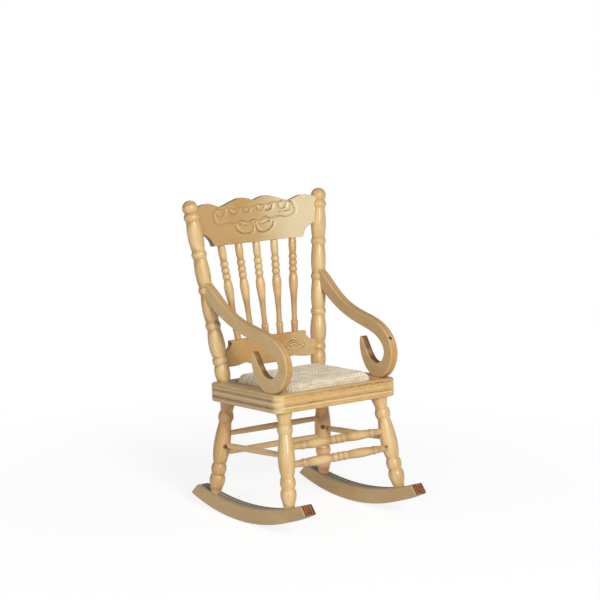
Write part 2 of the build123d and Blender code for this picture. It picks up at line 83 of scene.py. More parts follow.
# ----- Rockers ----------------------------------------------------------------------------------
# Each rocker is sawn from ply, so its sides show the face veneer's grain, and its top, underside
# and ends show the five plies as stripes, with dark glue between them and stained end grain.
class Tone:
    """A value in a finish. Operators on it add Math nodes, and node() adds any other node."""

    def __init__(self, tree, socket=None):
        self.tree, self.socket = tree, socket

    def node(self, kind, settings={}, inputs={}, output=0):
        """Adds a node: settings first, then the values or links of its sockets."""
        made = self.tree.nodes.new("ShaderNode" + kind)
        for name, value in settings.items():
            if name == "stops":
                ramp = made.color_ramp.elements
                for number, (place, colour) in enumerate(value):
                    stop = ramp[number] if number < 2 else ramp.new(place)
                    stop.position, stop.color = place, colour
            else:
                setattr(made, name, value)
        for name, value in inputs.items():
            if isinstance(value, Tone):
                self.tree.links.new(value.socket, made.inputs[name])
            else:
                made.inputs[name].default_value = value
        return Tone(self.tree, made.outputs[output])

    def maths(self, operation, *others):
        return self.node("Math", {"operation": operation}, dict(enumerate([self, *others])))

    def __add__(self, other):
        return self.maths("ADD", other)

    def __sub__(self, other):
        return self.maths("SUBTRACT", other)

    def __rsub__(self, other):
        return self.maths("MULTIPLY", -1).maths("ADD", other)

    def __mul__(self, other):
        return self.maths("MULTIPLY", other)

    def __pow__(self, other):
        return self.maths("POWER", other)

    __radd__ = __add__
    __rmul__ = __mul__

    def step(self, start, end):
        """0 below start and 1 above end, with a smooth rise between; start may be the higher."""
        if start > end:
            return 1 - self.step(end, start)
        inputs = {"Value": self, "From Min": start, "From Max": end}
        return self.node("MapRange", {"interpolation_type": "SMOOTHSTEP"}, inputs)

    def mixed(self, under, over):
        """The colour under, covered by the colour over to this share."""
        return self.node("Mix", {"data_type": "RGBA"}, {0: self, 6: under, 7: over}, 2)

    def stretched(self, x, y, z):
        """This vector with each part multiplied."""
        return self.node("VectorMath", {"operation": "MULTIPLY"}, {0: self, 1: (x, y, z)})

    def moved(self, x, y, z):
        """This vector with something added to each part."""
        return self.node("VectorMath", {}, {0: self, 1: (x, y, z)})

    def parts(self):
        """The three parts of this vector."""
        return [self.node("SeparateXYZ", {}, {0: self}, n) for n in range(3)]

    def noise(self, scale, detail=2.0, roughness=0.5, distortion=0.0):
        """Soft noise over this vector, from 0 to 1."""
        inputs = {"Vector": self, "Scale": scale, "Detail": detail}
        inputs |= {"Roughness": roughness, "Distortion": distortion}
        return self.node("TexNoise", {}, inputs)


def paint(red, green, blue):
    """A colour, 0 to 255, as linear light."""
    share = np.array([red, green, blue]) / 255
    linear = np.where(share <= 0.04045, share / 12.92, ((share + 0.055) / 1.055) ** 2.4)
    return (*map(float, linear), 1.0)


class Finish:
    """A material being built: start it, work out its tones, then call done()."""

    def __init__(self, name, lie=None):
        self.material = bpy.data.materials.new(name)
        self.material.use_nodes = True
        self.tree = self.material.node_tree
        self.tree.nodes.clear()
        self.start = Tone(self.tree)
        self.place = self.start.node("TexCoord", output=3)
        self.facing = self.start.node("TexCoord", output=1)
        if lie is not None:
            settings = {"vector_type": "TEXTURE"}
            turn = lie.to_euler()
            inputs = {"Vector": self.place, "Location": lie.translation, "Rotation": turn}
            self.grain = self.start.node("Mapping", settings, inputs | {"Scale": (mm, mm, mm)})

    def facing_along(self, direction):
        """How far the surface faces along a direction, from -1 to 1."""
        inputs = {0: self.facing, 1: tuple(direction)}
        return self.start.node("VectorMath", {"operation": "DOT_PRODUCT"}, inputs, 1)

    def away(self, point):
        """How far the surface is from a point, in metres."""
        inputs = {0: self.place, 1: tuple(point)}
        return self.start.node("VectorMath", {"operation": "DISTANCE"}, inputs, 1)

    def near(self, point, radius, blur):
        """1 within radius of a point, in metres, fading to 0 over blur."""
        return self.away(point).step(radius + blur, radius)

    def done(self, colour, roughness, height, depth, **gloss):
        """Joins the tones to the surface. height is in the same unit as depth, metres."""
        inputs = {"Height": height, "Distance": depth, "Strength": 1.0}
        bump = self.start.node("Bump", {}, inputs)
        inputs = {"Base Color": colour, "Roughness": roughness, "Normal": bump}
        inputs["Specular IOR Level"] = 0.35
        inputs |= {name.replace("_", " "): value for name, value in gloss.items()}
        shader = self.start.node("BsdfPrincipled", {}, inputs)
        out = self.tree.nodes.new("ShaderNodeOutputMaterial")
        self.tree.links.new(shader.socket, out.inputs["Surface"])
        return self.material


def dress(node, material):
    """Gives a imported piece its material."""
    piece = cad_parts[node]
    piece.data.materials.clear()
    piece.data.materials.append(material)


def ply(name, lie, thickness, face, edge, end, glue, seed, dark_marks=()):
    """Ply: the thin direction of the lie runs through its layers, and the long one along its
    face grain. face, edge and end are pairs of colours, pale and dark; glue is how dark the
    lines between the layers are. A stain is a point, a radius and a strength."""
    finish = Finish(name, lie)
    across = finish.grain.parts()[0]
    shifted = finish.grain.moved(seed, seed * 0.7, seed * 3.1)
    fibre = shifted.stretched(5, 5, 0.16).noise(1.0, 5.0, 0.6)
    cloud = shifted.stretched(0.25, 0.22, 0.07).noise(1.0, 2.0)
    pore = shifted.stretched(9, 9, 0.55).noise(1.0, 1.0).step(0.62, 0.72)
    side = (0.55 * fibre + 0.6 * cloud - 0.1).mixed(*face)
    side = (pore * 0.35).mixed(side, paint(120, 82, 45))

    drift = shifted.stretched(0.3, 0.3, 0.12).noise(1.0, 2.0) * 0.5
    place = across * (5 / thickness) + 2.25 + drift
    stripe = (place * pi).maths("SINE").maths("ABSOLUTE")
    turn = ((place * 0.5).maths("FRACT") * 2 - 1).maths("ABSOLUTE")
    crossed = turn.step(0.4, 0.6)
    tubes = shifted.stretched(4, 4, 4).noise(1.0, 3.0, 0.65)
    streak = shifted.stretched(7, 1.2, 0.4).noise(1.0, 4.0, 0.6)
    rim = (0.45 * crossed + 0.65 * streak - 0.03).mixed(*edge)
    rim = ((stripe.step(0.4, 0.1) * (0.4 + streak)) * glue).mixed(rim, paint(84, 56, 32))
    line = (across * (4.2 * pi / thickness) + 0.6 * tubes).maths("COSINE").maths("ABSOLUTE")
    burnt = shifted.stretched(0.7, 0.7, 0.7).noise(1.0, 2.0)
    tip = (line.step(0.85, 0.3) * 0.5 + 0.5 * tubes + 1.0 * burnt - 0.55).mixed(*end)
    thin = lie.to_3x3().normalized().col[0]
    long = lie.to_3x3().normalized().col[2]
    ends = finish.facing_along(long).maths("ABSOLUTE").step(0.5, 0.62)
    sawn = finish.facing_along(thin).maths("ABSOLUTE").step(0.8, 0.5)
    # A pale line along each arris of the sawn edge is a painted highlight, where an eased edge
    # would catch the light.
    arris_highlight = sawn * (across.maths("ABSOLUTE") - thickness / 2).step(-0.34, -0.1)
    rim = (arris_highlight * 0.6).mixed(rim, paint(226, 194, 146))
    rim = ends.mixed(rim, tip)
    colour = sawn.mixed(side, rim)
    for point, radius, strength in dark_marks:
        spot = finish.near(point, radius, radius) * strength * sawn
        colour = spot.mixed(colour, paint(104, 54, 22))
    height = 0.4 * fibre - 0.5 * pore + sawn * (0.9 * stripe + 0.8 * tubes)
    roughness = 0.4 + 0.14 * fibre + 0.2 * sawn
    return finish.done(colour, roughness, height, 0.04 * mm, Coat_Weight=0.25, Coat_Roughness=0.25)


rocker_thickness = 4.3
for side, seed in (("left", 3.0), ("right", 8.0)):
    node = f"{side}_rocker"
    material = ply(
        f"{node}_ply",
        lie(node),
        rocker_thickness,
        face=(paint(220, 190, 138), paint(184, 148, 96)),
        edge=(paint(222, 210, 190), paint(84, 72, 60)),
        end=(paint(164, 104, 60), paint(56, 28, 18)),
        glue=0.8,
        seed=seed,
    )
    dress(node, material)

# ----- Legs -------------------------------------------------------------------------------------
# Turned from pale hardwood with the grain along the leg, and varnished: the grooves hold a
# little more varnish and dirt, and glue has stained the wood round the stretchers' sockets.
honey = paint(234, 207, 152)
amber = paint(188, 140, 78)
pool = paint(150, 98, 50)
# Glue stain. It also serves as painted shade under the arms' joints on the back posts.
glue_stain_and_shade = paint(106, 38, 14)


def timber(name, lie, seed, pale=honey, dark=amber, groove=None, dark_marks=(), gloss=0.3):
    """Solid wood with its grain along the lie's long direction. groove is the radius, in
    millimetres, at which varnish has pooled; a dark mark, glue stain and on the back posts also
    painted shade, is a point, a radius and a strength."""
    finish = Finish(name, lie)
    shifted = finish.grain.moved(seed, seed * 1.7, seed * 5.3)
    across, broad, _ = finish.grain.parts()
    sway = shifted.stretched(0.12, 0.12, 0.03).noise(1.0, 2.0)
    pith = 6 + seed % 5
    ring = ((across + pith) ** 2.0 + (broad * 0.7) ** 2.0).maths("SQRT") + 5 * sway
    growth = ((ring * (tau / 1.35)).maths("SINE") * 0.5 + 0.5) ** 2.5
    fibre = shifted.stretched(6, 6, 0.2).noise(1.0, 5.0, 0.6)
    cloud = shifted.stretched(0.3, 0.3, 0.08).noise(1.0, 2.0)
    pore = shifted.stretched(10, 10, 0.6).noise(1.0, 1.0).step(0.63, 0.72)
    share = 0.14 * growth + 0.55 * fibre + 0.85 * cloud - 0.3
    colour = share.mixed(pale, dark)
    colour = (pore * 0.3).mixed(colour, pool)
    if groove:
        radius = (across**2.0 + broad**2.0).maths("SQRT")
        pooled = (radius - groove).maths("ABSOLUTE").step(0.28, 0.02)
        colour = (pooled * 0.42).mixed(colour, pool)
    for point, size, strength in dark_marks:
        ragged = size * (0.7 + 0.6 * shifted.stretched(1.5, 1.5, 1.5).noise(1.0, 3.0))
        spot = (finish.away(point) * 1000 - ragged).step(0.25, -0.15)
        colour = (spot * strength).mixed(colour, glue_stain_and_shade)
    height = 0.5 * fibre - 0.6 * pore + 0.1 * growth
    roughness = 0.3 + 0.16 * fibre
    return finish.done(
        colour, roughness, height, 0.022 * mm, Coat_Weight=gloss, Coat_Roughness=0.15
    )


def level(x, y, z):
    """One point of the level chair, standing, in metres."""
    return stand @ Vector((x, y, z))


leg_neck = 1.88
legs = (
    ("front_left_leg", (honey, amber), []),
    (
        "front_right_leg",
        (honey, amber),
        [(level(17.0, -17.8, 19.9), 0.4, 0.8), (level(17.1, -17.7, 18.9), 0.3, 0.6)],
    ),
    (
        "rear_left_leg",
        (paint(222, 186, 132), paint(178, 132, 78)),
        [(level(-19.7, 13.8, 20.6), 0.75, 0.8)],
    ),
    (
        "rear_right_leg",
        # Paler tones than the other legs: painted light on a leg that stands in the seat's shade.
        (paint(248, 206, 150), paint(214, 158, 100)),
        [(level(17.5, 14.2, 21.5), 0.75, 0.9)],
    ),
)
for number, (node, tones, dark_marks) in enumerate(legs):
    seed = 11.0 + 7.3 * number
    wood = timber(f"{node}_wood", lie(node), seed, *tones, groove=leg_neck, dark_marks=dark_marks)
    dress(node, wood)

# ----- Stretchers -------------------------------------------------------------------------------
# The two in front are turned with three beads; the rest are thin dowels in paler tones, painted
# light where they lie in the seat's shade.
dowel_tones_painted_lit = paint(244, 214, 164), paint(210, 164, 106)
bead_neck = 1.14
stretchers = (
    ("front_upper_stretcher", (honey, amber), bead_neck, []),
    ("front_lower_stretcher", (honey, amber), bead_neck, [(level(16.95, -17.6, 19.6), 0.4, 0.7)]),
    ("rear_upper_stretcher", dowel_tones_painted_lit, None, []),
    ("rear_lower_stretcher", dowel_tones_painted_lit, None, []),
    ("left_side_stretcher", dowel_tones_painted_lit, None, [(level(-19.9, 13.4, 20.7), 0.75, 0.9)]),
    ("right_side_stretcher", dowel_tones_painted_lit, None, [(level(18.6, 13.2, 20.9), 0.7, 0.6)]),
)
for number, (node, tones, groove, dark_marks) in enumerate(stretchers):
    seed = 41.0 + 5.9 * number
    wood = timber(f"{node}_wood", lie(node), seed, *tones, groove=groove, dark_marks=dark_marks)
    dress(node, wood)

# ----- Seat frame -------------------------------------------------------------------------------
# One piece of five-layer ply, its edges rounded and varnished. Along the front, the second layer
# is end grain with open pores; along the sides the first, third and fifth layers are.
seat_lie = Matrix.Translation((low + high) / 2) @ Matrix(((0, 0, 1), (1, 0, 0), (0, 1, 0))).to_4x4()
seat_lie @= Matrix.Scale(mm, 4)


def seat_finish():
    """Honey-coloured ply whose layers lie flat in the level chair."""
    finish = Finish("seat_frame_ply", seat_lie)
    grain = finish.grain
    fibre = grain.stretched(5, 6, 0.16).noise(1.0, 5.0, 0.6)
    cloud = grain.stretched(0.3, 0.12, 0.05).noise(1.0, 2.0)
    pore = grain.stretched(9, 9, 0.5).noise(1.0, 1.0).step(0.62, 0.7)
    top = (0.45 * fibre + 0.6 * cloud - 0.15).mixed(paint(234, 202, 150), paint(202, 162, 106))
    top = (pore * 0.3).mixed(top, pool)
    inputs = {"Vector": finish.place, "Location": stand.translation}
    inputs |= {"Rotation": stand.to_euler(), "Scale": (mm, mm, mm)}
    upright = finish.start.node("Mapping", {"vector_type": "TEXTURE"}, inputs)
    x, y, z = upright.parts()
    sway = upright.stretched(0.09, 0.09, 0.0).noise(1.0, 2.0) * 0.34 - 0.17
    height = z + sway
    sideways = finish.facing_along((1, 0, 0)).maths("ABSOLUTE").step(0.1, 0.95)
    ragged = upright.stretched(0.35, 0.35, 4.0).noise(1.0, 4.0, 0.65).step(0.3, 0.7)
    fleck = upright.stretched(1.5, 1.5, 4.0).noise(1.0, 3.0, 0.6).step(0.46, 0.6)

    def layer(middle, half):
        return (height - middle).maths("ABSOLUTE").step(half + 0.16, half - 0.14)

    second, fourth = layer(39.5, 0.3), layer(36.85, 0.22)
    edge = (0.6 * ragged + 0.5 * cloud - 0.1).mixed(paint(222, 186, 120), paint(176, 132, 66))
    rightward = 0.45 + 0.55 * (x - 1).step(-9, 7)
    front = (second * (0.3 + 0.7 * fleck) * rightward).mixed(edge, paint(146, 88, 34))
    front = (layer(38.0, 0.12) * 0.4).mixed(front, paint(240, 208, 148))
    patch = (x + 9.0).maths("ABSOLUTE").step(4, 1)
    front = (fourth * (0.32 + 0.3 * fleck + 0.5 * fleck * patch)).mixed(front, paint(124, 86, 42))
    front = (layer(36.25, 0.16) * 0.75).mixed(front, paint(232, 200, 158))
    upper, lower = layer(38.35, 0.36), layer(36.27, 0.42)
    side = (0.5 * ragged + 0.3 * cloud).mixed(paint(220, 186, 134), paint(190, 150, 96))
    side = (layer(37.5, 0.14) * 0.6).mixed(side, paint(238, 210, 164))
    side = (upper * (0.5 + 0.45 * ragged)).mixed(side, paint(144, 104, 54))
    side = (lower * (0.5 + 0.6 * ragged)).mixed(side, paint(138, 94, 44))
    side = (layer(39.6, 0.08) * 0.6).mixed(side, paint(132, 96, 54))
    edge = sideways.mixed(front, side)
    flat = finish.facing_along((stand @ Vector((0, 0, 1)) - stand.translation).normalized())
    rim = flat.maths("ABSOLUTE").step(0.85, 0.45)
    # Painted shadow in the gap between the pad and the frame along the left of the pad.
    gap = (x + 0.165 * y + 15.87).maths("ABSOLUTE").step(0.5, 0.2)
    gap = gap * y.step(0.5, 2.5) * y.step(12.5, 11.0)
    top = (gap * 0.8).mixed(top, paint(92, 60, 34))
    colour = rim.mixed(top, edge)
    # A painted highlight on the seat's rounded front corners.
    turn = (x.maths("ABSOLUTE") - 20.2).step(-1.6, 0.8) * (y * -1 - 15.2).step(-1.6, 0.8)
    colour = (turn * 0.42 * rim).mixed(colour, paint(238, 210, 154))
    # A painted highlight along the rounded edge between the top and the sides.
    top_edge_highlight = flat.step(0.98, 0.9) * flat.step(0.35, 0.7)
    colour = (top_edge_highlight * 0.4).mixed(colour, paint(236, 204, 152))
    height = 0.5 * fibre - 0.7 * pore + rim * (0.6 * ragged - 0.8 * (second + fourth) * fleck)
    roughness = 0.3 + 0.16 * fibre
    return finish.done(
        colour, roughness, height, 0.03 * mm, Coat_Weight=0.4, Coat_Roughness=0.18
    )


dress("seat_frame", seat_finish())

# ----- Pad --------------------------------------------------------------------------------------
# A board wound from side to side with unbleached three-ply cotton string, turn beside turn. The
# turns wander a little, and two more are tucked down the front and the back of the board.
pad_width, pad_depth, pad_bottom, pad_top, pad_rounding = 30.9, 27.9, 36.5, 42.5, 2.0
pad_y = -0.05
string_radius = 0.52
string_pitch = 0.92
twists_in_a_turn = 46
pad_roll = 2.0
pad_reach = pad_depth / 2 - string_radius + 0.5 * pad_roll


def grid_mesh(name, points, close_across=False, close_along=False):
    """A mesh over a grid of points (rows, columns, 3), closed round either way if asked."""
    rows, columns = points.shape[:2]
    across = np.arange(columns if close_across else columns - 1)
    down = np.arange(rows if close_along else rows - 1)
    row, column = (side.ravel() for side in np.meshgrid(down, across, indexing="ij"))
    right, below = (column + 1) % columns, (row + 1) % rows
    around = (row, column), (below, column), (below, right), (row, right)
    quads = np.stack([down * columns + across for down, across in around], 1)
    return mesh_of(name, points.reshape(-1, 3), quads)


def mesh_of(name, points, quads):
    """A smooth-shaded mesh from points in metres and rows of four corners."""
    mesh = bpy.data.meshes.new(name)
    mesh.vertices.add(len(points))
    mesh.vertices.foreach_set("co", np.asarray(points, np.float32).ravel())
    mesh.loops.add(quads.size)
    mesh.loops.foreach_set("vertex_index", quads.ravel().astype(np.int32))
    mesh.polygons.add(len(quads))
    mesh.polygons.foreach_set("loop_start", np.arange(0, quads.size, 4, dtype=np.int32))
    mesh.update(calc_edges=True)
    mesh.polygons.foreach_set("use_smooth", np.ones(len(quads), bool))
    mesh.validate()
    return mesh


def whole(mesh):
    """Closes a mesh's open ends, and turns its faces outward."""
    work = bmesh.new()
    work.from_mesh(mesh)
    bmesh.ops.remove_doubles(work, verts=work.verts, dist=1e-7)
    bmesh.ops.holes_fill(work, edges=[edge for edge in work.edges if edge.is_boundary], sides=0)
    bmesh.ops.recalc_face_normals(work, faces=work.faces)
    work.to_mesh(mesh)
    work.free()
    return mesh


def shown(name, mesh, material, slot, *stands_for):
    """Puts a finished mesh in the scene, riding on the chair."""
    mesh.materials.append(material)
    piece = bpy.data.objects.new(name, mesh)
    bpy.context.scene.collection.objects.link(piece)
    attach(piece, "root")
    if stands_for:
        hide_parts(*stands_for)
    return piece


def rounded_loop(share, width, height, corner):
    """Points (across, up) and outward directions round a rounded rectangle about the origin, at
    shares of its length: four straights and four quarter circles end to end."""
    flat, tall = width / 2 - corner, height / 2 - corner
    bend = corner * pi / 2
    half_way_round = (2 * flat, bend, 2 * tall, bend)
    lengths = np.stack(np.broadcast_arrays(*half_way_round, *half_way_round), -1)
    ends = np.cumsum(lengths, -1)
    way = (share * ends[..., -1])[..., None]
    leg = np.clip((way >= ends).sum(-1), 0, 7)
    began = np.take_along_axis(ends - lengths, leg[..., None], -1)[..., 0]
    length = np.take_along_axis(lengths, leg[..., None], -1)[..., 0]
    part = (way[..., 0] - began) / length
    quarter = leg // 2
    bending = leg % 2 == 1
    angle = pi / 2 - quarter * pi / 2 - np.where(bending, part * pi / 2, 0)
    out = np.stack([np.cos(angle), np.sin(angle)], -1)
    signs = np.array([[1, 1], [1, -1], [-1, -1], [-1, 1]])
    centre = signs[quarter] * np.stack([flat, tall], -1)
    back = np.array([[-1, 1], [1, 1], [1, -1], [-1, -1]])
    start = back[quarter] * np.stack([flat, tall], -1)
    straight = start + (centre - start) * part[..., None]
    return np.where(bending[..., None], centre, straight) + corner[..., None] * out, out


def pad_rows(way):
    """Where rows across the pad lie, way millimetres from its middle, over the top and down its
    rounded front or back edge: their place in depth, and how far they have sunk."""
    flat = pad_depth / 2 - pad_roll - string_radius
    over = np.clip(np.abs(way) - flat, 0, None) / pad_roll
    depth = np.sign(way) * (np.minimum(np.abs(way), flat) + pad_roll * np.sin(over))
    return depth, pad_roll * (1 - np.cos(over))


def string_turns():
    """Each turn is a tube about a rounded rectangle, and the turns follow the pad's rounded front
    and back edges down. A tube's radius dips where two of its three plies meet, and that dip
    winds round it as it goes along, which makes the twist. Turns wander, sink and cross a bit.
    The dip is returned for the finish."""
    rng = np.random.default_rng(5)
    steps, sides = 200, 12
    half = round(pad_reach / string_pitch)
    way = np.linspace(-pad_reach, pad_reach, 2 * half + 1)
    y, sunk = pad_rows(way)
    share, around = np.meshgrid(np.arange(steps) / steps, np.arange(sides) / sides, indexing="ij")
    share = np.broadcast_to(share, (len(way), steps, sides))
    around = np.broadcast_to(around, share.shape) * tau
    phase = rng.uniform(0, tau, (5, len(way), 1, 1))
    swing = rng.uniform(0.5, 1.4, (2, len(way), 1, 1)) * (1 - 0.6 * sunk / pad_roll)[:, None, None]
    wander = 0.1 * np.sin(2 * tau * share + phase[0]) + 0.1 * np.sin(5 * tau * share + phase[1])
    wander = swing[0] * wander
    lift = 0.08 * np.sin(3 * tau * share + phase[2]) + 0.07 * np.sin(8 * tau * share + phase[3])
    lift = swing[1] * lift + rng.uniform(-0.1, 0.1, (len(way), 1, 1)) - 0.1
    inset = sunk[:, None, None] + string_radius - lift
    width, height = pad_width - 2 * inset * 0.7 - 0.3, pad_top - pad_bottom - 2 * inset
    corner = np.maximum(np.minimum(pad_rounding - inset * 0.55, height / 2 - 0.02), 0.1)
    path, out = rounded_loop(share, width, height, corner)
    twist = around + tau * twists_in_a_turn * share + phase[4]
    dip = 1 - 0.2 * np.abs(np.sin(1.5 * twist))
    radius = string_radius * dip * rng.uniform(0.94, 1.14, (len(way), 1, 1))
    rise = radius * np.cos(around)
    x = path[..., 0] + out[..., 0] * rise
    z = path[..., 1] + out[..., 1] * rise + (pad_bottom + pad_top) / 2
    side = y[:, None, None] + wander + radius * np.sin(around) + pad_y
    return np.stack([x, side, z], -1), dip


def wound_board():
    """The board under the string: rounded rectangles along the same rows, a string lower."""
    way = np.linspace(-pad_reach, pad_reach, 41)[:, None]
    y, sunk = pad_rows(way)
    inset = sunk + 1.5 * string_radius
    width, height = pad_width - 2 * inset * 0.7 - 0.3, pad_top - pad_bottom - 2 * inset
    share, width, height, y = np.broadcast_arrays(np.arange(160) / 160, width, height, y)
    path, _ = rounded_loop(share, width, height, 0.45 * height)
    return np.stack([path[..., 0], y + pad_y, path[..., 1] + (pad_bottom + pad_top) / 2], -1)


def string_finish():
    """Soft unbleached cotton: each turn a little different, with fibres along the twist, and
    painted shade in the dips between its plies.
    """
    finish = Finish("seat_string_cotton", stand)
    grain = finish.grain
    turn = grain.stretched(0.25, 1.05, 0.25).noise(1.0, 2.0)
    fluff = grain.stretched(1.1, 2.6, 1.1).noise(1.0, 4.0, 0.65)
    grime = grain.stretched(0.16, 0.2, 0.3).noise(1.0, 3.0)
    # Darker in the dips between the plies: painted shade.
    hollow = finish.start.node("Attribute", {"attribute_name": "ply"}, output=2).step(1.0, 0.82)
    share = 0.9 * turn + 1.0 * fluff + 0.6 * hollow - 0.96
    colour = share.mixed(paint(250, 240, 218), paint(190, 168, 132))
    colour = (grime.step(0.52, 0.78) * 0.3).mixed(colour, paint(168, 146, 108))
    roughness = 0.86 + 0.1 * fluff
    return finish.done(
        colour, roughness, fluff, 0.09 * mm, Sheen_Weight=0.3, Sheen_Roughness=0.5
    )


tubes, dips = string_turns()
count, steps, sides = tubes.shape[:3]
places = np.meshgrid(np.arange(count), np.arange(steps), np.arange(sides), indexing="ij")
turn, row, side = (place.ravel() for place in places)
beyond, beside = (row + 1) % steps, (side + 1) % sides
around = (row, side), (beyond, side), (beyond, beside), (row, beside)
quads = np.stack([(turn * steps + along) * sides + about for along, about in around], 1)
string = mesh_of("string_winding", stood(tubes), quads)
dips = np.broadcast_to(dips, tubes.shape[:3]).ravel().astype(np.float32)
string.attributes.new("ply", "FLOAT", "POINT").data.foreach_set("value", dips)
winding = shown("string_winding", whole(string), string_finish(), "seat_string", "pad_winding")
# The board shows only in the gaps between the turns, and its dull tan is painted shade there.
board_gap_shade_tones = paint(214, 196, 162), paint(176, 152, 114)
board_gap_shade = timber("pad_board_gap_shade", lie("pad_board"), 91.0, *board_gap_shade_tones, gloss=0.0)
points = wound_board()
board = grid_mesh("wound_board", stood(points).reshape(points.shape), close_across=True)
shown("wound_board", whole(board), board_gap_shade, "pad_board", "pad_board")

# ----- Back posts -------------------------------------------------------------------------------
# Turned like the legs, with four rings, a collar and a ball on top. A little below the arms there
# are a few dark marks on them: glue stain, with painted shadow where the arms join the posts.
post_neck = 1.95
for node, seed, dark_marks in (
    (
        "left_back_post",
        61.0,
        [(level(-19.6, 16.0, 58.4), 0.9, 0.45), (level(-19.0, 15.5, 61.0), 0.7, 0.35)],
    ),
    ("right_back_post", 68.0, [(level(20.6, 15.4, 63.0), 0.7, 0.6)]),
):
    dress(node, timber(f"{node}_wood", lie(node), seed, groove=post_neck, dark_marks=dark_marks))

# ----- Back rails -------------------------------------------------------------------------------
# Two boards bent hollow to the front, with ornament pressed into them by a hot steel die: a long
# cartouche over two swags on the crest rail, and an eye at each side of the lower one.
# The creases are browned with painted shade and their lips paled with a painted highlight, and the
# raw edges are darker with painted shade where they face down and paler with painted light where
# they face up.
lean = radians(6.12)
splay = 0.1198 * cos(lean)
post_foot_x, post_foot_y, seat_top = 17.8, 16.1, 40.1
rail_bend, rail_half, rail_let_in = 165.0, 1.1, 1.6


def rail_end(up):
    """Half the rail's width this far up the back."""
    return post_foot_x - rail_let_in + splay * up


def curve(points, x):
    """A smooth curve through points (x, u): a cubic between each two, with the slope at each
    point the mean of the slopes on its sides."""
    px, pu = np.array(points, float).T
    slope = np.gradient(pu, px)
    n = np.clip(np.searchsorted(px, x) - 1, 0, len(px) - 2)
    gap = px[n + 1] - px[n]
    t = np.clip((x - px[n]) / gap, 0, 1)
    near = (2 * t**3 - 3 * t**2 + 1) * pu[n] + (t**3 - 2 * t**2 + t) * gap * slope[n]
    return near + (3 * t**2 - 2 * t**3) * pu[n + 1] + (t**3 - t**2) * gap * slope[n + 1]


def bow(start, through, end, x):
    """Height at x of the circle through three points, the side that through lies on."""
    (ax, au), (bx, bu), (cx, cu) = start, through, end
    turn = 2 * (ax * (bu - cu) + bx * (cu - au) + cx * (au - bu))
    a2, b2, c2 = ax**2 + au**2, bx**2 + bu**2, cx**2 + cu**2
    mx = (a2 * (bu - cu) + b2 * (cu - au) + c2 * (au - bu)) / turn
    mu = (a2 * (cx - bx) + b2 * (ax - cx) + c2 * (bx - ax)) / turn
    rise = np.sqrt(np.maximum((ax - mx) ** 2 + (au - mu) ** 2 - (x - mx) ** 2, 0))
    return mu + np.sign(bu - mu) * rise


def soft(value, width):
    """0 where value is below 0 and 1 above width, with a smooth rise."""
    t = np.clip(value / width, 0, 1)
    return t * t * (3 - 2 * t)


def ridge(x, u, path, width):
    """1 along a path of points, falling off smoothly over the width on each side."""
    px, pu = np.array(path, float).T
    turn = np.linspace(0, len(px) - 1, 12 * len(px))
    px, pu = (curve(list(enumerate(p)), turn) for p in (px, pu))
    far = np.full(x.shape, 99.0)
    for a, b, c, d in zip(px[:-1], pu[:-1], px[1:], pu[1:]):
        t = np.clip(((x - a) * (c - a) + (u - b) * (d - b)) / ((c - a) ** 2 + (d - b) ** 2), 0, 1)
        far = np.minimum(far, np.hypot(x - a - t * (c - a), u - b - t * (d - b)))
    return np.exp(-((far / width) ** 2))


